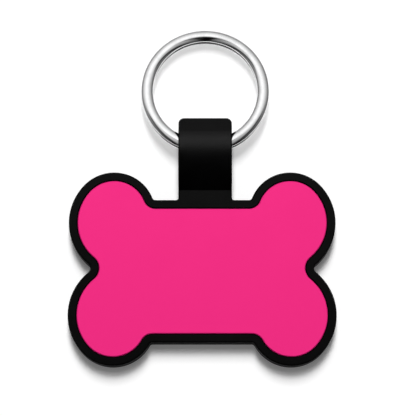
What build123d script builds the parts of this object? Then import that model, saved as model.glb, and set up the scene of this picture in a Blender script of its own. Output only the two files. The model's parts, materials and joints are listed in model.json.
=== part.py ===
from build123d import *
import os
from math import asin, atan2, cos, degrees, hypot, radians, sin, sqrt, tan

# A bone-shaped pet id tag lying on its back: a black moulded holder with a strap loop, a coloured
# plate bonded into its front, and a two-turn split ring that swings in the loop.
# X runs across the tag, Y from the bone towards the ring and Z out of the plate's face.
# Lengths are in millimetres. The origin lies under the middle of the whole tag, on the table.

# Bone outline: its height, the straight run of the bar between its upper lobes, and shares of the
# height that give the lobes and the bar their sizes and their levels above and below the waist line
bone_height = 29.9
bar_length = 14.4
lobe_level_share = 0.239
lobe_side_share = 0.283
lobe_end_share = 0.212
bar_top_share = 0.355
bar_bottom_share = 0.382
corner_round = 0.5
notch_round = 0.8

# Moulded holder
holder_thickness = 3.1
rim_width = 1.37
edge_break = 0.2
back_break = 0.25
lip_break = 0.12

# Face plate and the film under it
plate_thickness = 0.8
plate_recess = 0.08
plate_gap = 0.06
plate_edge_break = 0.12
film_thickness = 0.15
film_inset = 0.5

# Strap loop, moulded in one with the holder and set a little to one side of the bone's middle
strap_width = 8.25
strap_length = 12.75
strap_thickness = 0.8
strap_offset = 0.45
root_flat = 1.5
root_corner_round = 0.35
crease_round = 0.6
crest_set_back = 5.35
tip_slope = 20
tip_wall = 1.5
tip_corner_round = 0.9
eye_root_wall = 2.2
eye_corner_round = 0.7
mouth_break = 0.3

# Two-turn split ring of flattened wire, and how it lies in the loop
ring_diameter = 20.0
wire_width = 1.9
turn_thickness = 1.0
turn_gap = 0.06
wire_edge_break = 0.36
wire_shoulder_break = 0.14
wire_end_round = 0.15
ring_set_back = 3.9
ring_clearance = 0.18
climb_angle = 36
climb_centre_angle = 270
end_gap_angle = 3

# Room that every through cut runs past its faces
overrun = 1.0
# Slack for picking edges by their place
pick_slack = 0.01

# Ring sizes that follow from its wire
ring_radius = ring_diameter / 2
inner_radius = ring_radius - wire_width
mean_radius = ring_radius - wire_width / 2
turn_pitch = turn_thickness + turn_gap
stack_half = (turn_pitch + turn_thickness) / 2
flat_margin = wire_edge_break + wire_shoulder_break

# The curved wire's reach either side of the line it turns on, inside the strap's width, and the eye
# that lets it turn right round
mouth_half = strap_width / 2 - mouth_break
wire_reach = (ring_radius - sqrt(inner_radius**2 - mouth_half**2)) / 2
swing_radius = ring_radius - wire_reach
sweep_reach = max(
    hypot(wire_reach, stack_half - wire_edge_break), hypot(wire_reach - wire_edge_break, stack_half)
)
eye_reach = sweep_reach + ring_clearance
axis_z = strap_thickness + eye_reach

# The ring hangs down from that line until its far side lies on the table
ring_far = swing_radius + ring_radius
far_arm = ring_far - flat_margin
ring_tilt = asin(axis_z / hypot(far_arm, stack_half)) - atan2(stack_half, far_arm)
ring_run = ring_far * cos(ring_tilt) + (stack_half - flat_margin) * sin(ring_tilt)

# Levels and radii of the bone's outline
lobe_level = lobe_level_share * bone_height
lobe_side_radius = lobe_side_share * bone_height
lobe_end_radius = lobe_end_share * bone_height
bar_top = bar_top_share * bone_height
bar_bottom = bar_bottom_share * bone_height

# Places along the tag
overall_length = bone_height / 2 + bar_top + strap_length - ring_set_back + ring_run
waist_y = (bone_height - overall_length) / 2
bar_y = waist_y + bar_top
crease_y = bar_y + root_flat
tip_y = bar_y + strap_length
axis_y = tip_y - ring_set_back
crest_y = tip_y - crest_set_back
eye_tip_y = tip_y - tip_wall
eye_root_y = crease_y + eye_root_wall

# The strap's front is an arc from the crease at its root, over its crest, that runs into a straight
# slope down to its tip. Its centre lies below the crest, at the level where the arc starts at the
# crease while its inner face, a strap's thickness inside it, just clears the turning ring. That level
# is the lower root of a quadratic.
crest_run = crest_y - crease_y
axis_run = axis_y - crest_y
rise_share = (axis_z - holder_thickness) / axis_z
base_radius = (crest_run**2 + holder_thickness**2 - axis_run**2) / (2 * axis_z)
root_mean = (base_radius * rise_share + holder_thickness) / (1 - rise_share**2)
root_product = (crest_run**2 + holder_thickness**2 - base_radius**2) / (1 - rise_share**2)
hump_centre_z = root_mean - sqrt(root_mean**2 - root_product)
hump_radius = base_radius + rise_share * hump_centre_z
loop_height = hump_centre_z + hump_radius
slope_angle = radians(tip_slope)


def hump_arc(y, depth):
    """Point at y on the strap's arched front, or on the face that lies depth inside it."""
    return (y, hump_centre_z + sqrt((hump_radius - depth) ** 2 - (y - crest_y) ** 2))


def slope_start(depth):
    """Point where the arched front, or the face depth inside it, runs into the tip's slope."""
    radius = hump_radius - depth
    return (crest_y + radius * sin(slope_angle), hump_centre_z + radius * cos(slope_angle))


def slope_point(y, depth):
    """Point at y on the tip's slope, or on the face that lies depth inside it."""
    start_y, start_z = slope_start(depth)
    return (y, start_z - (y - start_y) * tan(slope_angle))


# Bone outline: each lobe is a wide side arc that runs smoothly into a tighter end arc, and small arcs
# round the corners where the lobes meet the bar and each other. All are arcs about fixed centres, so
# an outline drawn in by an inset keeps the centres and changes the radii.
radius_step = lobe_side_radius - lobe_end_radius
end_level = bone_height / 2 - lobe_end_radius
blend_angle = degrees(asin((end_level - lobe_level) / radius_step))
blend_direction = Vector(1, 0).rotate(Axis.Z, blend_angle)


def corner_run(bar_level):
    """How far a lobe's end arc is centred outside the corner arc where it meets the bar."""
    return sqrt((lobe_end_radius + corner_round) ** 2 - (bar_level + corner_round - end_level) ** 2)


end_centre = Vector(bar_length / 2 + corner_run(bar_top), end_level)
side_centre = end_centre - blend_direction * radius_step
bone_width = 2 * (side_centre.X + lobe_side_radius)
notch_reach = sqrt((lobe_side_radius + notch_round) ** 2 - lobe_level**2)
notch_centre = Vector(side_centre.X + notch_reach, 0)
notch_direction = (notch_centre - side_centre).normalized()


def bone_face(inset):
    """The bone's outline as a face, drawn in by inset all round."""
    end_radius = lobe_end_radius - inset
    side_radius = lobe_side_radius - inset
    blend = side_centre + blend_direction * side_radius
    notch_start = side_centre + notch_direction * side_radius
    notch_tip = notch_centre.X - notch_round - inset
    with BuildSketch() as outline:
        with BuildLine(Plane((0, waist_y))):
            for up, bar_level in ((1, bar_top), (-1, bar_bottom)):
                corner_x = end_centre.X - corner_run(bar_level)
                corner_centre = Vector(corner_x, bar_level + corner_round)
                lobe_start = end_centre + (corner_centre - end_centre).normalized() * end_radius
                level = up * (bar_level - inset)
                bar = Line((0, level), (corner_x, level))
                corner = TangentArc(bar @ 1, (lobe_start.X, up * lobe_start.Y), tangent=bar % 1)
                end_arc = TangentArc(corner @ 1, (blend.X, up * blend.Y), tangent=corner % 1)
                side_end = (notch_start.X, up * notch_start.Y)
                side_arc = TangentArc(end_arc @ 1, side_end, tangent=end_arc % 1)
                TangentArc(side_arc @ 1, (notch_tip, 0), tangent=side_arc % 1)
            mirror(about=Plane.YZ)
        make_face()
    return outline.sketch


# Strap loop: its side profile, trimmed to its plan with rounded tip corners
with BuildPart() as strap_loop:
    with BuildSketch(Plane.YZ.offset(strap_offset)) as loop_side:
        with BuildLine():
            Polyline((crease_y, holder_thickness), (bar_y, holder_thickness), (bar_y, 0), (tip_y, 0))
            Polyline((tip_y, 0), slope_point(tip_y, 0), slope_start(0))
            ThreePointArc(slope_start(0), (crest_y, loop_height), (crease_y, holder_thickness))
        make_face()
        crease = loop_side.vertices().sort_by_distance((strap_offset, crease_y, holder_thickness))[0]
        fillet(crease, crease_round)
    extrude(amount=strap_width / 2, both=True)
    with BuildSketch(Plane((strap_offset, (bar_y + tip_y) / 2))) as loop_plan:
        Rectangle(strap_width, strap_length)
        fillet(loop_plan.vertices().group_by(Axis.Y)[-1], tip_corner_round)
    extrude(amount=loop_height, mode=Mode.INTERSECT)

# Moulded holder: bone slab and strap loop in one, with the plate's pocket and the ring's eye
pocket_depth = plate_recess + plate_thickness + film_thickness
with BuildPart() as holder:
    with BuildSketch() as holder_plan:
        add(bone_face(0))
        with Locations((strap_offset, bar_y)):
            Rectangle(strap_width, 2 * root_flat)
        root_corners = holder_plan.vertices().sort_by_distance((strap_offset, bar_y))[:2]
        fillet(root_corners, root_corner_round)
    extrude(amount=holder_thickness)
    add(strap_loop.part)
    front_edges = holder.edges().filter_by_position(
        Axis.Z, holder_thickness - pick_slack, loop_height + pick_slack
    )
    crease_lines = front_edges.filter_by(Axis.X).filter_by_position(
        Axis.Y, bar_y + pick_slack, tip_y - pick_slack
    )
    chamfer(front_edges - crease_lines, edge_break)
    chamfer(holder.faces().sort_by(Axis.Z)[0].outer_wire().edges(), back_break)
    with BuildSketch(Plane.XY.offset(holder_thickness)):
        add(bone_face(rim_width - plate_gap))
    extrude(amount=-pocket_depth, mode=Mode.SUBTRACT)
    rim_face = holder.faces().filter_by(Axis.Z).filter_by_position(
        Axis.Z, holder_thickness - pick_slack, holder_thickness + pick_slack
    )[0]
    chamfer(rim_face.inner_wires()[0].edges(), lip_break)
    with BuildSketch(Plane.YZ.offset(strap_offset)) as eye_side:
        with BuildLine():
            Polyline(
                hump_arc(eye_root_y, strap_thickness),
                (eye_root_y, strap_thickness),
                (eye_tip_y, strap_thickness),
                slope_point(eye_tip_y, strap_thickness),
                slope_start(strap_thickness),
            )
            ThreePointArc(
                slope_start(strap_thickness),
                (crest_y, loop_height - strap_thickness),
                hump_arc(eye_root_y, strap_thickness),
            )
        make_face()
        eye_corners = eye_side.vertices().sort_by(Axis.Y).group_by(Axis.Y)
        fillet(eye_corners[0] + eye_corners[-1], eye_corner_round)
    extrude(amount=strap_width / 2 + overrun, both=True, mode=Mode.SUBTRACT)
    strap_sides = holder.faces().filter_by(Axis.X).sort_by(SortBy.AREA)[-2:]
    for strap_side in strap_sides:
        chamfer(strap_side.inner_wires()[0].edges(), mouth_break)
holder.part.label = "holder"

# Face plate, set just below the rim with a fine gap round its edge
plate_base = holder_thickness - plate_recess - plate_thickness
with BuildPart() as face_plate:
    with BuildSketch(Plane.XY.offset(plate_base)):
        add(bone_face(rim_width))
    extrude(amount=plate_thickness)
    chamfer(face_plate.faces().sort_by(Axis.Z)[-1].edges(), plate_edge_break)
face_plate.part.label = "face_plate"

# Adhesive film between the plate and the pocket's floor
with BuildPart() as bond_film:
    with BuildSketch(Plane.XY.offset(plate_base - film_thickness)):
        add(bone_face(rim_width + film_inset))
    extrude(amount=film_thickness)
bond_film.part.label = "bond_film"

# Split ring: one wire that runs once round behind, climbs a turn's pitch and runs once round in front.
# The climb is two equal arcs that meet half way up and run smoothly into both turns.
ring_axis = Vector(0, sin(ring_tilt), cos(ring_tilt))
ring_slope = Vector(0, cos(ring_tilt), -sin(ring_tilt))
ring_centre = Vector(strap_offset, axis_y, axis_z) + ring_slope * swing_radius
climb_start = climb_centre_angle - climb_angle / 2
climb_end = climb_centre_angle + climb_angle / 2
turn_angle = 360 - climb_angle - end_gap_angle


def wire_plane(angle, level, radius=mean_radius):
    """Plane across the wire, angle round the ring and level along its axis."""
    outward = Vector(1, 0, 0).rotate(Axis((0, 0, 0), ring_axis), angle)
    centre = ring_centre + outward * radius + ring_axis * level
    return Plane(centre, x_dir=outward, z_dir=ring_axis.cross(outward))


def wire_section(plane):
    """The flattened wire's section with its shoulders broken in two steps, lying in the plane."""
    with BuildSketch(plane) as section:
        Rectangle(wire_width, turn_thickness)
        chamfer(section.vertices(), wire_edge_break)
        chamfer(section.vertices(), wire_shoulder_break)
    return section.sketch


back_end = wire_plane(climb_start, -turn_pitch / 2)
climb_middle = wire_plane(climb_centre_angle, 0, hypot(mean_radius, turn_pitch / 2))
front_start = wire_plane(climb_end, turn_pitch / 2)
half_rise = ring_axis * (turn_pitch / 2)
with BuildPart() as split_ring:
    for turn_start in (wire_plane(climb_end + end_gap_angle, -turn_pitch / 2), front_start):
        revolve(wire_section(turn_start), Axis(ring_centre, ring_axis), turn_angle)
    with BuildLine() as climb:
        lower = TangentArc(back_end.origin, climb_middle.origin, tangent=back_end.z_dir)
        TangentArc(lower @ 1, front_start.origin, tangent=lower % 1)
    with BuildLine() as climb_guide:
        Line(ring_centre - half_rise, ring_centre + half_rise)
    sweep(wire_section(back_end), path=climb.wire(), binormal=climb_guide.wire())
    wire_ends = split_ring.faces().filter_by(GeomType.PLANE).sort_by(SortBy.AREA)[:2]
    fillet(wire_ends.edges(), wire_end_round)
split_ring.part.label = "split_ring"

os.makedirs("parts", exist_ok=True)
for piece in (holder, face_plate, bond_film, split_ring):
    export_step(piece.part, f"parts/{piece.part.label}.step")
print(f"ring hangs {degrees(ring_tilt):.2f} degrees below level, loop is {loop_height:.2f} mm high")
print(f"ring turns about y {axis_y:.3f}, z {axis_z:.3f}")
print(f"bone is {bone_width:.2f} mm wide and the whole tag {overall_length:.3f} mm long")
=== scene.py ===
import json
import math

import bpy
from bpy.props import FloatProperty, FloatVectorProperty, IntProperty, PointerProperty
from mathutils import Matrix, Vector


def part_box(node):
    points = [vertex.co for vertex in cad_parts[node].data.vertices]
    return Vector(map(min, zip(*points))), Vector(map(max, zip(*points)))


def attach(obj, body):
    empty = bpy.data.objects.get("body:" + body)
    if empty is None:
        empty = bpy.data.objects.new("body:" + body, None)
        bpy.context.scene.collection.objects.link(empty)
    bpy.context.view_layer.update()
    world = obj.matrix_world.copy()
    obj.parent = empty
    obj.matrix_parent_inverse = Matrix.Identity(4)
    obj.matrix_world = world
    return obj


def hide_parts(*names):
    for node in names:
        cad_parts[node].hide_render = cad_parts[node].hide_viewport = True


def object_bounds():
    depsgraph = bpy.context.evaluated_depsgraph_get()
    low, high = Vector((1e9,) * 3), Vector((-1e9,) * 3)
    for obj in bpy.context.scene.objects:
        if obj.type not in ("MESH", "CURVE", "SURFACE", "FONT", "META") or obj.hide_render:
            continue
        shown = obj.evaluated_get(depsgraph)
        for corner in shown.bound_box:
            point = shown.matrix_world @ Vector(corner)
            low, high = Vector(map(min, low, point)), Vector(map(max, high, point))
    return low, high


bl_info = {
    "name": "Pet id tag",
    "version": (1, 0, 0),
    "blender": (4, 5, 0),
    "location": "3D View > Sidebar > Pet Tag",
    "description": "Finishes a bone-shaped pet id tag with its split ring and lays it on a pale floor",
    "category": "Object",
}

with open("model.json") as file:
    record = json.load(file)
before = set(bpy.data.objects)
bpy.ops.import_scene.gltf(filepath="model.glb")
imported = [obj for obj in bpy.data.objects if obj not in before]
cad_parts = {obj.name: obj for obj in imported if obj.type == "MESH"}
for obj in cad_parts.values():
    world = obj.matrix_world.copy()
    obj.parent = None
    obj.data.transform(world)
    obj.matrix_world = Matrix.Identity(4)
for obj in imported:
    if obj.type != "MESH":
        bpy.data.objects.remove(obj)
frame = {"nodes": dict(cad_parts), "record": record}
cad_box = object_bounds()
ring_mount = next(m for m in frame["record"]["mounts"] if m["name"] == "ring_opening")
ring_low, ring_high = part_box("split_ring")

# The mirrored room from its darkest part to its brightest: place on the way there, and brightness.
ROOM_FADE = (
    (0.0, 0.0), (0.30, 0.02), (0.50, 0.08), (0.742, 0.21),
    (0.877, 0.44), (0.9455, 0.71), (0.987, 1.0), (1.0, 1.16),
)
# The room in front of the tag, from its middle out to the sides: place, and share of the light left there.
ROOM_FRONT = ((0.08, 0.0), (0.20, 0.75), (0.38, 0.75), (0.47, 0.12), (0.60, 0.12), (0.70, 0.70), (1.0, 1.0))
# Where the room's front ends and where its back, which keeps all its light, begins.
ROOM_BACK = (0.06, 0.26)
# Scale of the coarse unevenness under a fine grain, as a share of the grain's.
COARSE_SHARE = 0.12


class TagColours(bpy.types.PropertyGroup):
    """Colours and finishes of the tag's pieces"""

    rubber_dark: FloatVectorProperty(
        name="Rubber", description="Black rubber where it is clean",
        subtype="COLOR", size=4, min=0.0, max=1.0, default=(0.0006, 0.0006, 0.0006, 1.0))
    rubber_bloom: FloatVectorProperty(
        name="Rubber bloom", description="Black rubber where handling has left a faint bloom",
        subtype="COLOR", size=4, min=0.0, max=1.0, default=(0.0012, 0.0012, 0.0013, 1.0))
    rubber_shine: FloatProperty(
        name="Rubber shine", description="Strength of the reflection on the rubber",
        subtype="FACTOR", min=0.0, max=1.0, default=0.034)
    rubber_grain: FloatProperty(
        name="Rubber grain", description="Depth of the moulded grain on the rubber",
        unit="LENGTH", min=0.0, precision=6, default=0.000012)
    plate_pink: FloatVectorProperty(
        name="Plate", description="Pink of the dyed plate",
        subtype="COLOR", size=4, min=0.0, max=1.0, default=(0.838, 0.0172, 0.204, 1.0))
    plate_pale: FloatVectorProperty(
        name="Plate grain", description="Paler pink on the tips of the blasted grain",
        subtype="COLOR", size=4, min=0.0, max=1.0, default=(0.866, 0.0238, 0.2235, 1.0))
    plate_metal: FloatProperty(
        name="Plate metal", description="How much of the plate's gloss is that of bare metal",
        subtype="FACTOR", min=0.0, max=1.0, default=0.1)
    plate_shine: FloatProperty(
        name="Plate shine", description="Strength of the reflection on the plate's dye",
        subtype="FACTOR", min=0.0, max=1.0, default=0.08)
    plate_grain: FloatProperty(
        name="Plate grain depth", description="Depth of the blasted grain on the plate",
        unit="LENGTH", min=0.0, precision=6, default=0.000004)
    film_clear: FloatVectorProperty(
        name="Film", description="Adhesive film behind the plate",
        subtype="COLOR", size=4, min=0.0, max=1.0, default=(0.62, 0.60, 0.54, 1.0))
    film_cloudy: FloatVectorProperty(
        name="Film clouds", description="Milky patches in the adhesive film",
        subtype="COLOR", size=4, min=0.0, max=1.0, default=(0.74, 0.72, 0.67, 1.0))
    steel_bright: FloatVectorProperty(
        name="Steel", description="Plated steel of the ring",
        subtype="COLOR", size=4, min=0.0, max=1.0, default=(0.90, 0.90, 0.905, 1.0))
    steel_dull: FloatVectorProperty(
        name="Steel rubbed", description="Plated steel where it has been rubbed",
        subtype="COLOR", size=4, min=0.0, max=1.0, default=(0.82, 0.82, 0.825, 1.0))
    steel_lines: FloatProperty(
        name="Drawn lines", description="Depth of the lines that drawing leaves along the wire",
        unit="LENGTH", min=0.0, precision=7, default=0.0000012)


class RingSizes(bpy.types.PropertyGroup):
    """Sizes of the wound ring"""

    centre: FloatVectorProperty(
        name="Centre", description="Middle of the ring at rest",
        subtype="XYZ", unit="LENGTH", size=3, default=ring_mount["pos_m"])
    axis: FloatVectorProperty(
        name="Axis", description="Direction that the ring is wound about",
        subtype="DIRECTION", size=3, default=ring_mount["axis"])
    diameter: FloatProperty(
        name="Diameter", description="Across the outside of the ring",
        unit="LENGTH", min=0.001, default=ring_high[0] - ring_low[0])
    wire_width: FloatProperty(
        name="Wire width", description="Across the flat wire, from inside to outside",
        unit="LENGTH", min=0.0001, default=0.0019)
    turn_thickness: FloatProperty(
        name="Turn thickness", description="One turn of the flat wire, along the axis",
        unit="LENGTH", min=0.0001, default=0.001)
    turn_gap: FloatProperty(
        name="Turn gap", description="Gap between the two turns",
        unit="LENGTH", min=0.0, default=0.00006)
    climb_angle: FloatProperty(
        name="Climb", description="Part of the circle over which the wire climbs to the second turn",
        subtype="ANGLE", default=math.radians(36.0))
    climb_centre: FloatProperty(
        name="Climb middle", description="Where the climb is, from the tag's right",
        subtype="ANGLE", default=math.radians(270.0))
    end_gap: FloatProperty(
        name="End gap", description="Gap between each cut end and the climbing wire",
        subtype="ANGLE", default=math.radians(3.0))
    end_round: FloatProperty(
        name="End rounding", description="Rounding of the cut ends",
        unit="LENGTH", min=0.0, precision=5, default=0.00015)
    smooth_angle: FloatProperty(
        name="Smooth angle", description="Sharpest bend of the surface that is shaded smooth",
        subtype="ANGLE", default=math.radians(50.0))
    section_points: IntProperty(
        name="Section points", description="Points round the section of the wire", min=8, default=40)
    turn_steps: IntProperty(
        name="Turn steps", description="Steps round one turn of the wire", min=24, default=132)
    climb_steps: IntProperty(
        name="Climb steps", description="Steps along the climb", min=4, default=14)


class StageSettings(bpy.types.PropertyGroup):
    """Floor, light and camera"""

    floor_colour: FloatVectorProperty(
        name="Floor", description="Pale floor",
        subtype="COLOR", size=4, min=0.0, max=1.0, default=(0.98, 0.98, 0.98, 1.0))
    floor_white: FloatProperty(
        name="Floor white", description="White added to the floor where the camera sees it",
        min=0.0, max=1.0, default=0.10)
    floor_size: FloatProperty(
        name="Floor size", description="Side of the floor", unit="LENGTH", min=0.1, default=1.2)
    floor_near: FloatProperty(
        name="Floor fades from", description="Where the floor starts to fade into the white",
        unit="LENGTH", default=0.14)
    floor_far: FloatProperty(
        name="Floor fades to", description="Where the floor has faded into the white",
        unit="LENGTH", default=0.40)
    key_power: FloatProperty(
        name="Key light", description="Power of the lower soft box", unit="POWER", default=16.2)
    key_elevation: FloatProperty(
        name="Key height", description="Height of the lower soft box above the horizon, behind the tag",
        subtype="ANGLE", default=math.radians(57.0))
    box_distance: FloatProperty(
        name="Box distance", description="From the tag to each soft box", unit="LENGTH", default=1.60)
    key_size: FloatVectorProperty(
        name="Key size", description="Width and depth of the lower soft box", unit="LENGTH", size=2,
        default=(0.36, 0.72))
    top_power: FloatProperty(
        name="Top light", description="Power of the upper soft box", unit="POWER", default=9.6)
    top_elevation: FloatProperty(
        name="Top height", description="Height of the upper soft box above the horizon, behind the tag",
        subtype="ANGLE", default=math.radians(68.0))
    top_size: FloatVectorProperty(
        name="Top size", description="Width and depth of the upper soft box", unit="LENGTH", size=2,
        default=(0.33, 0.68))
    ambient: FloatProperty(
        name="Room light", description="Light from the whole room", min=0.0, default=0.11)
    sky_elevation: FloatProperty(
        name="Sky height", description="Height of the brightest part of the room above the horizon",
        subtype="ANGLE", default=math.radians(64.0))
    sky_turn: FloatProperty(
        name="Sky turn", description="How far the brightest part of the room stands to the right",
        subtype="ANGLE", default=math.radians(-13.0))
    camera_distance: FloatProperty(
        name="Camera distance", description="From the camera to its target", unit="LENGTH", default=0.300)
    camera_elevation: FloatProperty(
        name="Camera height", description="Height of the view above the horizon",
        subtype="ANGLE", default=math.radians(79.42))
    camera_target: FloatVectorProperty(
        name="Camera target", description="Point in the middle of the picture",
        subtype="XYZ", unit="LENGTH", size=3, default=(0.0008889, -0.0021169, 0.0027))
    camera_lens: FloatProperty(
        name="Lens", description="Focal length on a 36 mm wide picture", unit="CAMERA", default=168.67)


def put(tree, kind, place, **settings):
    """A node of this kind in the tree, with its settings."""
    node = tree.nodes.new(kind)
    node.location = place
    for name, value in settings.items():
        setattr(node, name, value)
    return node


def join(tree, source, target):
    """A link from one socket to another."""
    tree.links.new(source, target)


def fine_grain_group():
    """Height of a fine pebbled grain, with a coarser unevenness under it."""
    name = "fine_grain"
    if name in bpy.data.node_groups:
        return bpy.data.node_groups[name]
    group = bpy.data.node_groups.new(name, "ShaderNodeTree")
    group.interface.new_socket("Vector", in_out="INPUT", socket_type="NodeSocketVector")
    group.interface.new_socket("Grain Scale", in_out="INPUT", socket_type="NodeSocketFloat")
    group.interface.new_socket("Unevenness", in_out="INPUT", socket_type="NodeSocketFloat")
    group.interface.new_socket("Height", in_out="OUTPUT", socket_type="NodeSocketFloat")
    enter = put(group, "NodeGroupInput", (-700, 0))
    leave = put(group, "NodeGroupOutput", (500, 0))
    pebbles = put(group, "ShaderNodeTexNoise", (-400, 150))
    pebbles.inputs["Detail"].default_value = 3.0
    pebbles.inputs["Roughness"].default_value = 0.55
    coarse_scale = put(group, "ShaderNodeMath", (-600, -200), operation="MULTIPLY")
    coarse_scale.inputs[1].default_value = COARSE_SHARE
    waves = put(group, "ShaderNodeTexNoise", (-400, -150))
    waves.inputs["Detail"].default_value = 2.0
    blend = put(group, "ShaderNodeMix", (200, 0), data_type="FLOAT")
    join(group, enter.outputs["Vector"], pebbles.inputs["Vector"])
    join(group, enter.outputs["Grain Scale"], pebbles.inputs["Scale"])
    join(group, enter.outputs["Grain Scale"], coarse_scale.inputs[0])
    join(group, enter.outputs["Vector"], waves.inputs["Vector"])
    join(group, coarse_scale.outputs[0], waves.inputs["Scale"])
    join(group, enter.outputs["Unevenness"], blend.inputs["Factor"])
    join(group, pebbles.outputs["Fac"], blend.inputs["A"])
    join(group, waves.outputs["Fac"], blend.inputs["B"])
    join(group, blend.outputs["Result"], leave.inputs["Height"])
    return group


def handling_group():
    """Soft patches left by handling: a mask, and a value that runs between two limits with it."""
    name = "handling_marks"
    if name in bpy.data.node_groups:
        return bpy.data.node_groups[name]
    group = bpy.data.node_groups.new(name, "ShaderNodeTree")
    group.interface.new_socket("Vector", in_out="INPUT", socket_type="NodeSocketVector")
    group.interface.new_socket("Patch Scale", in_out="INPUT", socket_type="NodeSocketFloat")
    group.interface.new_socket("Clean Value", in_out="INPUT", socket_type="NodeSocketFloat")
    group.interface.new_socket("Marked Value", in_out="INPUT", socket_type="NodeSocketFloat")
    group.interface.new_socket("Mask", in_out="OUTPUT", socket_type="NodeSocketFloat")
    group.interface.new_socket("Value", in_out="OUTPUT", socket_type="NodeSocketFloat")
    enter = put(group, "NodeGroupInput", (-700, 0))
    leave = put(group, "NodeGroupOutput", (500, 0))
    patches = put(group, "ShaderNodeTexNoise", (-400, 0))
    patches.inputs["Detail"].default_value = 4.0
    patches.inputs["Roughness"].default_value = 0.6
    patches.inputs["Distortion"].default_value = 0.4
    mask = put(group, "ShaderNodeMapRange", (-150, 0), interpolation_type="SMOOTHSTEP")
    mask.inputs["From Min"].default_value = 0.35
    mask.inputs["From Max"].default_value = 0.70
    value = put(group, "ShaderNodeMix", (200, -100), data_type="FLOAT")
    join(group, enter.outputs["Vector"], patches.inputs["Vector"])
    join(group, enter.outputs["Patch Scale"], patches.inputs["Scale"])
    join(group, patches.outputs["Fac"], mask.inputs["Value"])
    join(group, mask.outputs["Result"], value.inputs["Factor"])
    join(group, enter.outputs["Clean Value"], value.inputs["A"])
    join(group, enter.outputs["Marked Value"], value.inputs["B"])
    join(group, mask.outputs["Result"], leave.inputs["Mask"])
    join(group, value.outputs["Result"], leave.inputs["Value"])
    return group


def new_material(name):
    """An empty node material: its tree, its Principled shader and its object coordinates."""
    material = bpy.data.materials.new(name)
    material.use_nodes = True
    tree = material.node_tree
    tree.nodes.clear()
    output = put(tree, "ShaderNodeOutputMaterial", (700, 0))
    shader = put(tree, "ShaderNodeBsdfPrincipled", (400, 0))
    coords = put(tree, "ShaderNodeTexCoord", (-900, 0))
    join(tree, shader.outputs["BSDF"], output.inputs["Surface"])
    return material, tree, shader, coords


def place_group(tree, group, place, vector, **values):
    """The shared group in a material, with this material's own values."""
    node = put(tree, "ShaderNodeGroup", place, node_tree=group)
    join(tree, vector, node.inputs["Vector"])
    for name, value in values.items():
        node.inputs[name.replace("_", " ").title()].default_value = value
    return node


def two_tone(tree, place, mask, clean, marked):
    """A colour that runs from one tone to another with a mask."""
    mix = put(tree, "ShaderNodeMix", place, data_type="RGBA")
    mix.inputs["A"].default_value = clean
    mix.inputs["B"].default_value = marked
    join(tree, mask, mix.inputs["Factor"])
    return mix.outputs["Result"]


def grain_bump(tree, height, depth, strength):
    """A bump of this depth from a height, into a normal."""
    bump = put(tree, "ShaderNodeBump", (150, -350))
    bump.inputs["Strength"].default_value = strength
    bump.inputs["Distance"].default_value = depth
    join(tree, height, bump.inputs["Height"])
    return bump.outputs["Normal"]


def rubber_material(colours):
    """Black moulded rubber with a fine grain and a faint bloom."""
    material, tree, shader, coords = new_material("moulded_black_rubber")
    place = coords.outputs["Object"]
    bloom = place_group(tree, handling_group(), (-600, 150), place,
                        patch_scale=140.0, clean_value=0.32, marked_value=0.37)
    grain = place_group(tree, fine_grain_group(), (-600, -250), place, grain_scale=5200.0, unevenness=0.25)
    tone = two_tone(tree, (-100, 250), bloom.outputs["Mask"], colours.rubber_dark, colours.rubber_bloom)
    join(tree, tone, shader.inputs["Base Color"])
    join(tree, bloom.outputs["Value"], shader.inputs["Roughness"])
    normal = grain_bump(tree, grain.outputs["Height"], colours.rubber_grain, strength=0.6)
    join(tree, normal, shader.inputs["Normal"])
    shader.inputs["Specular IOR Level"].default_value = colours.rubber_shine
    return material


def plate_material(colours):
    """Pink dyed plate with a fine blasted grain."""
    material, tree, shader, coords = new_material("pink_dyed_plate")
    place = coords.outputs["Object"]
    marks = place_group(tree, handling_group(), (-600, 150), place,
                        patch_scale=90.0, clean_value=0.40, marked_value=0.48)
    grain = place_group(tree, fine_grain_group(), (-600, -250), place, grain_scale=9000.0, unevenness=0.2)
    tone = two_tone(tree, (-100, 250), grain.outputs["Height"], colours.plate_pink, colours.plate_pale)
    join(tree, tone, shader.inputs["Base Color"])
    join(tree, marks.outputs["Value"], shader.inputs["Roughness"])
    normal = grain_bump(tree, grain.outputs["Height"], colours.plate_grain, strength=0.5)
    join(tree, normal, shader.inputs["Normal"])
    shader.inputs["Metallic"].default_value = colours.plate_metal
    shader.inputs["Specular IOR Level"].default_value = colours.plate_shine
    return material


def film_material(colours):
    """Milky adhesive film with a slightly uneven surface."""
    material, tree, shader, coords = new_material("adhesive_film")
    place = coords.outputs["Object"]
    clouds = place_group(tree, handling_group(), (-600, 150), place,
                         patch_scale=260.0, clean_value=0.32, marked_value=0.50)
    grain = place_group(tree, fine_grain_group(), (-600, -250), place, grain_scale=2600.0, unevenness=0.5)
    tone = two_tone(tree, (-100, 250), clouds.outputs["Mask"], colours.film_clear, colours.film_cloudy)
    join(tree, tone, shader.inputs["Base Color"])
    join(tree, clouds.outputs["Value"], shader.inputs["Roughness"])
    normal = grain_bump(tree, grain.outputs["Height"], colours.rubber_grain, strength=0.4)
    join(tree, normal, shader.inputs["Normal"])
    return material


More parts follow.
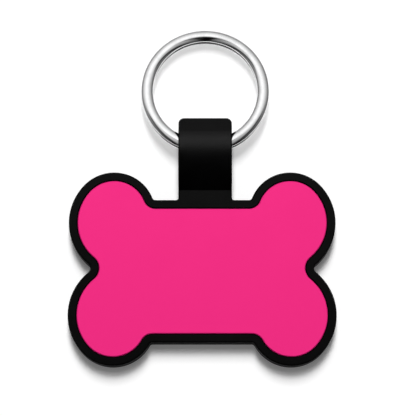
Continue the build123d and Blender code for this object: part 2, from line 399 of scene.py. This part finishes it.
def steel_material(colours, sizes):
    """Bright plated wire, with drawn lines that run round the ring."""
    material, tree, shader, coords = new_material("bright_ring_steel")
    place = coords.outputs["Object"]
    rubbed = place_group(tree, handling_group(), (-600, 250), place,
                         patch_scale=420.0, clean_value=0.08, marked_value=0.16)
    centred = put(tree, "ShaderNodeVectorMath", (-700, -200), operation="SUBTRACT")
    centred.inputs[1].default_value = sizes.centre
    level = put(tree, "ShaderNodeVectorMath", (-500, -300), operation="DOT_PRODUCT")
    level.inputs[1].default_value = sizes.axis
    reach = put(tree, "ShaderNodeVectorMath", (-500, -150), operation="LENGTH")
    across = put(tree, "ShaderNodeCombineXYZ", (-300, -200))
    lines = put(tree, "ShaderNodeTexNoise", (-100, -250))
    lines.inputs["Scale"].default_value = 9000.0
    lines.inputs["Detail"].default_value = 2.0
    join(tree, place, centred.inputs[0])
    join(tree, centred.outputs["Vector"], level.inputs[0])
    join(tree, centred.outputs["Vector"], reach.inputs[0])
    join(tree, reach.outputs["Value"], across.inputs["X"])
    join(tree, level.outputs["Value"], across.inputs["Y"])
    join(tree, across.outputs["Vector"], lines.inputs["Vector"])
    tone = two_tone(tree, (-100, 350), rubbed.outputs["Mask"], colours.steel_bright, colours.steel_dull)
    join(tree, tone, shader.inputs["Base Color"])
    join(tree, rubbed.outputs["Value"], shader.inputs["Roughness"])
    normal = grain_bump(tree, lines.outputs["Fac"], colours.steel_lines, strength=0.6)
    join(tree, normal, shader.inputs["Normal"])
    shader.inputs["Metallic"].default_value = 1.0
    return material


def dress(node, material):
    """The material in every slot of a piece."""
    piece = frame["nodes"][node]
    for slot in piece.material_slots:
        slot.material = material
    return piece


def let_go():
    """Nothing selected and no piece in hand."""
    if bpy.context.object and bpy.context.object.mode != "OBJECT":
        bpy.ops.object.mode_set(mode="OBJECT")
    bpy.ops.object.select_all(action="DESELECT")


class TAG_OT_holder(bpy.types.Operator):
    """Finish the moulded rubber holder"""

    bl_idname = "pet_tag.holder"
    bl_label = "Rubber holder"

    def execute(self, context):
        dress("holder", rubber_material(context.scene.tag_colours))
        return {"FINISHED"}


class TAG_OT_plate(bpy.types.Operator):
    """Finish the pink plate"""

    bl_idname = "pet_tag.plate"
    bl_label = "Face plate"

    def execute(self, context):
        dress("face_plate", plate_material(context.scene.tag_colours))
        return {"FINISHED"}


class TAG_OT_film(bpy.types.Operator):
    """Finish the adhesive film behind the plate"""

    bl_idname = "pet_tag.film"
    bl_label = "Adhesive film"

    def execute(self, context):
        dress("bond_film", film_material(context.scene.tag_colours))
        return {"FINISHED"}


class TAG_OT_ring(bpy.types.Operator):
    """Wind the split ring from flattened wire with an elliptical section"""

    bl_idname = "pet_tag.ring"
    bl_label = "Split ring"

    def execute(self, context):
        sizes = context.scene.tag_ring
        centre = Vector(sizes.centre)
        axis = Vector(sizes.axis).normalized()
        right = Vector((1.0, 0.0, 0.0))
        up = axis.cross(right)
        pitch = sizes.turn_thickness + sizes.turn_gap
        radius = (sizes.diameter - sizes.wire_width) / 2
        turn = math.tau - sizes.climb_angle - sizes.end_gap
        start = sizes.climb_centre + sizes.climb_angle / 2 + sizes.end_gap
        outward = math.cos(start) * right + math.sin(start) * up

        let_go()
        bpy.ops.mesh.primitive_circle_add(
            vertices=sizes.section_points, radius=sizes.wire_width / 2, fill_type="NOTHING")
        ring = context.object
        ring.name = ring.data.name = "split_ring_wire"
        bpy.ops.object.mode_set(mode="EDIT")
        bpy.ops.transform.resize(value=(1.0, sizes.turn_thickness / sizes.wire_width, 1.0))
        bpy.ops.object.mode_set(mode="OBJECT")
        turned = Matrix((outward, axis, outward.cross(axis))).transposed().to_4x4()
        ring.matrix_world = Matrix.Translation(centre + radius * outward - pitch / 2 * axis) @ turned
        bpy.ops.object.transform_apply(location=True, rotation=True, scale=True)

        bpy.ops.object.mode_set(mode="EDIT")
        bpy.ops.mesh.select_all(action="SELECT")
        bpy.ops.mesh.spin(steps=sizes.turn_steps, angle=-turn, center=centre, axis=axis)
        climbed = 0.0
        for step in range(1, sizes.climb_steps + 1):
            height = pitch * (1 - math.cos(math.pi * step / sizes.climb_steps)) / 2
            bpy.ops.mesh.spin(steps=1, angle=-sizes.climb_angle / sizes.climb_steps, center=centre, axis=axis)
            bpy.ops.transform.translate(value=(height - climbed) * axis)
            climbed = height
        bpy.ops.mesh.spin(steps=sizes.turn_steps, angle=-turn, center=centre, axis=axis)
        bpy.ops.mesh.select_all(action="SELECT")
        bpy.ops.mesh.fill_holes(sides=sizes.section_points)
        bpy.ops.mesh.normals_make_consistent(inside=False)
        bpy.ops.object.mode_set(mode="OBJECT")
        for face in ring.data.polygons:
            face.select = len(face.vertices) == sizes.section_points
        bpy.ops.object.mode_set(mode="EDIT")
        bpy.ops.mesh.region_to_loop()
        bpy.ops.mesh.bevel(offset=sizes.end_round, segments=3, affect="EDGES")
        bpy.ops.object.mode_set(mode="OBJECT")
        bpy.ops.object.shade_smooth_by_angle(angle=sizes.smooth_angle)

        ring.data.materials.append(steel_material(context.scene.tag_colours, sizes))
        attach(ring, "ring")
        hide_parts("split_ring")
        return {"FINISHED"}


def floor_material(stage):
    """Pale floor that keeps the shadow, tops up to white and fades out far from the tag."""
    material = bpy.data.materials.new("pale_floor")
    material.use_nodes = True
    tree = material.node_tree
    tree.nodes.clear()
    output = put(tree, "ShaderNodeOutputMaterial", (900, 0))
    matt = put(tree, "ShaderNodeBsdfDiffuse", (0, 150))
    matt.inputs["Color"].default_value = stage.floor_colour
    white = put(tree, "ShaderNodeEmission", (0, -50))
    lift = put(tree, "ShaderNodeMath", (-200, -150), operation="MULTIPLY")
    lift.inputs[1].default_value = stage.floor_white
    lit = put(tree, "ShaderNodeAddShader", (250, 50))
    clear = put(tree, "ShaderNodeBsdfTransparent", (250, -150))
    mixed = put(tree, "ShaderNodeMixShader", (450, 0))
    path = put(tree, "ShaderNodeLightPath", (-450, -100))
    coords = put(tree, "ShaderNodeTexCoord", (-400, -400))
    reach = put(tree, "ShaderNodeVectorMath", (-200, -400), operation="LENGTH")
    fade = put(tree, "ShaderNodeMapRange", (0, -400), interpolation_type="SMOOTHSTEP")
    fade.inputs["From Min"].default_value = stage.floor_near
    fade.inputs["From Max"].default_value = stage.floor_far
    join(tree, path.outputs["Is Camera Ray"], lift.inputs[0])
    join(tree, lift.outputs[0], white.inputs["Strength"])
    join(tree, matt.outputs["BSDF"], lit.inputs[0])
    join(tree, white.outputs["Emission"], lit.inputs[1])
    join(tree, coords.outputs["Object"], reach.inputs[0])
    join(tree, reach.outputs["Value"], fade.inputs["Value"])
    join(tree, fade.outputs["Result"], mixed.inputs["Fac"])
    join(tree, lit.outputs["Shader"], mixed.inputs[1])
    join(tree, clear.outputs["BSDF"], mixed.inputs[2])
    join(tree, mixed.outputs["Shader"], output.inputs["Surface"])
    return material


def plain_grey(level):
    """A grey of this brightness, as a colour."""
    return (level, level, level, 1.0)


def greys(tree, location, stops):
    """A ramp of greys: each stop is its place and its brightness."""
    node = put(tree, "ShaderNodeValToRGB", location)
    ends = node.color_ramp.elements
    ends[0].position, ends[1].position = stops[0][0], stops[-1][0]
    ends[0].color, ends[1].color = plain_grey(stops[0][1]), plain_grey(stops[-1][1])
    for place, grey in stops[1:-1]:
        ends.new(place).color = plain_grey(grey)
    return node


def aim(elevation, turn):
    """Direction this high above the horizon behind the tag, turned to the right."""
    level = math.cos(elevation)
    return Vector((level * math.sin(turn), level * math.cos(turn), math.sin(elevation)))


def room_light(tree, stage):
    """Brightness of the room as it is mirrored: bright behind the tag, dark in front of it."""
    coords = put(tree, "ShaderNodeTexCoord", (-1300, -300))
    near = put(tree, "ShaderNodeVectorMath", (-1000, -200), operation="DOT_PRODUCT")
    near.inputs[1].default_value = aim(stage.sky_elevation, stage.sky_turn)
    spread = put(tree, "ShaderNodeMapRange", (-800, -200))
    spread.inputs["From Min"].default_value = -1.0
    fade = greys(tree, (-600, -200), ROOM_FADE)
    parts = put(tree, "ShaderNodeSeparateXYZ", (-1000, -500))
    across = put(tree, "ShaderNodeMath", (-800, -450), operation="ABSOLUTE")
    beside = greys(tree, (-600, -450), ROOM_FRONT)
    behind = put(tree, "ShaderNodeMapRange", (-600, -700), interpolation_type="SMOOTHSTEP")
    behind.inputs["From Min"].default_value, behind.inputs["From Max"].default_value = ROOM_BACK
    clear = put(tree, "ShaderNodeMath", (-300, -550), operation="MAXIMUM")
    level = put(tree, "ShaderNodeMath", (-200, -300), operation="MULTIPLY")
    join(tree, coords.outputs["Generated"], near.inputs[0])
    join(tree, near.outputs["Value"], spread.inputs["Value"])
    join(tree, spread.outputs["Result"], fade.inputs["Fac"])
    join(tree, coords.outputs["Generated"], parts.inputs["Vector"])
    join(tree, parts.outputs["X"], across.inputs[0])
    join(tree, across.outputs[0], beside.inputs["Fac"])
    join(tree, parts.outputs["Y"], behind.inputs["Value"])
    join(tree, beside.outputs["Color"], clear.inputs[0])
    join(tree, behind.outputs["Result"], clear.inputs[1])
    join(tree, fade.outputs["Color"], level.inputs[0])
    join(tree, clear.outputs[0], level.inputs[1])
    return level.outputs[0]


def gather(name, pieces):
    """A collection of the pieces that a light falls on, or that shade it."""
    group = bpy.data.collections.new(name)
    for piece in pieces:
        group.objects.link(piece)
    return group


def soft_box(scene, name, power, size, elevation, distance):
    """A soft box behind the tag, turned towards it."""
    light = bpy.data.lights.new(name, "AREA")
    light.shape = "RECTANGLE"
    light.size, light.size_y = size
    light.energy = power
    box = bpy.data.objects.new(name, light)
    box.location = distance * aim(elevation, 0.0)
    box.rotation_euler = (elevation - math.radians(90.0), 0.0, 0.0)
    box.visible_camera = False
    scene.collection.objects.link(box)
    return box


class TAG_OT_stage(bpy.types.Operator):
    """Lay the tag on a pale floor under two soft boxes, and set the camera"""

    bl_idname = "pet_tag.stage"
    bl_label = "Floor, light and camera"

    def execute(self, context):
        stage = context.scene.tag_stage
        scene = context.scene
        let_go()
        bpy.ops.mesh.primitive_plane_add(size=stage.floor_size, location=(0.0, 0.0, cad_box[0][2]))
        floor = context.object
        floor.name = "floor"
        bpy.ops.object.transform_apply(location=True, rotation=True, scale=True)
        floor.data.materials.append(floor_material(stage))

        tag = [frame["nodes"][node] for node in ("holder", "face_plate", "bond_film")]
        key = soft_box(
            scene, "key_box", stage.key_power, stage.key_size, stage.key_elevation, stage.box_distance)
        key.light_linking.receiver_collection = gather("lit_by_key_box", tag + [floor])
        top = soft_box(
            scene, "top_box", stage.top_power, stage.top_size, stage.top_elevation, stage.box_distance)
        top.light_linking.blocker_collection = gather("shades_top_box", tag)
        top.visible_glossy = False

        world = bpy.data.worlds.new("white_room")
        world.use_nodes = True
        tree = world.node_tree
        tree.nodes.clear()
        output = put(tree, "ShaderNodeOutputWorld", (600, 0))
        background = put(tree, "ShaderNodeBackground", (400, 0))
        path = put(tree, "ShaderNodeLightPath", (-450, 300))
        lit = put(tree, "ShaderNodeMix", (-100, 0), data_type="RGBA")
        lit.inputs["A"].default_value = plain_grey(stage.ambient)
        seen = put(tree, "ShaderNodeMix", (150, 0), data_type="RGBA")
        seen.inputs["B"].default_value = plain_grey(1.0)
        join(tree, path.outputs["Is Glossy Ray"], lit.inputs["Factor"])
        join(tree, room_light(tree, stage), lit.inputs["B"])
        join(tree, path.outputs["Is Camera Ray"], seen.inputs["Factor"])
        join(tree, lit.outputs["Result"], seen.inputs["A"])
        join(tree, seen.outputs["Result"], background.inputs["Color"])
        join(tree, background.outputs["Background"], output.inputs["Surface"])
        scene.world = world

        camera_data = bpy.data.cameras.new("camera")
        camera_data.lens = stage.camera_lens
        camera_data.sensor_width = 36.0
        camera_data.clip_start = 0.01
        camera = bpy.data.objects.new("camera", camera_data)
        back = Vector((0.0, -math.cos(stage.camera_elevation), math.sin(stage.camera_elevation)))
        camera.location = Vector(stage.camera_target) + stage.camera_distance * back
        camera.rotation_euler = (math.radians(90.0) - stage.camera_elevation, 0.0, 0.0)
        scene.collection.objects.link(camera)
        scene.camera = camera
        scene.view_settings.view_transform = "Standard"
        return {"FINISHED"}


class TAG_PT_panel(bpy.types.Panel):
    """The tag's pieces, sizes and colours"""

    bl_idname = "TAG_PT_panel"
    bl_label = "Pet id tag"
    bl_space_type = "VIEW_3D"
    bl_region_type = "UI"
    bl_category = "Pet Tag"

    def draw(self, context):
        layout = self.layout
        for operator in operators:
            layout.operator(operator.bl_idname)
        for group in (context.scene.tag_colours, context.scene.tag_ring, context.scene.tag_stage):
            column = layout.column()
            for name in group.__annotations__:
                column.prop(group, name)


operators = (TAG_OT_holder, TAG_OT_plate, TAG_OT_film, TAG_OT_ring, TAG_OT_stage)
classes = (TagColours, RingSizes, StageSettings, *operators, TAG_PT_panel)


def register():
    for item in classes:
        bpy.utils.register_class(item)
    bpy.types.Scene.tag_colours = PointerProperty(type=TagColours)
    bpy.types.Scene.tag_ring = PointerProperty(type=RingSizes)
    bpy.types.Scene.tag_stage = PointerProperty(type=StageSettings)


def unregister():
    del bpy.types.Scene.tag_stage
    del bpy.types.Scene.tag_ring
    del bpy.types.Scene.tag_colours
    for item in reversed(classes):
        bpy.utils.unregister_class(item)


def main():
    register()
    bpy.ops.pet_tag.holder()
    bpy.ops.pet_tag.plate()
    bpy.ops.pet_tag.film()
    bpy.ops.pet_tag.ring()
    bpy.ops.pet_tag.stage()
    bpy.context.view_layer.update()


if __name__ == "__main__":
    main()
